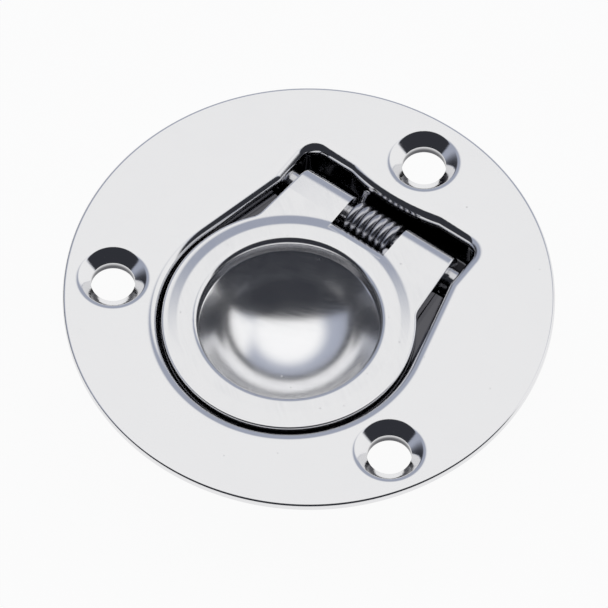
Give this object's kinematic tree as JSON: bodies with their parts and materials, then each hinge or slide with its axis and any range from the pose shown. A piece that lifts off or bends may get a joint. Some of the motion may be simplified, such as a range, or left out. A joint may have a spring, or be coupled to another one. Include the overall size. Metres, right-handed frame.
{
  "type": "recessed pull handle",
  "caption": "Round flush ring pull: a pressed dish plate with screw holes and a finger bowl, and a ring handle on a hinge pin that a torsion spring folds flat.",
  "frame": {"origin": "middle of the round plate on its seating plane, the underside of the flange", "axes": "+Z out of the panel, towards the user; +Y from the finger bowl to the hinge; +X along the hinge pin"},
  "size_m": [0.065, 0.065, 0.011],
  "materials": {
    "base_plate": "mirror-polished stainless sheet",
    "ring_handle": "mirror-polished cast stainless",
    "hinge_pin": "turned stainless",
    "torsion_spring": "drawn spring wire"
  },
  "bodies": {
    "base": {"base_plate": "base_plate", "hinge_pin": "hinge_pin", "torsion_spring": "torsion_spring"},
    "handle": {"ring_handle": "ring_handle"}
  },
  "joints": [
    {"name": "handle_hinge", "type": "hinge", "parent": "base", "child": "handle", "pos_m": [0, 0.0147, -0.002], "axis": [-1, 0, 0], "range_deg": [0, 110], "stiffness_Nm_per_rad": 0.017, "springref_deg": -28.65, "deforming": ["torsion_spring"]}
  ]
}
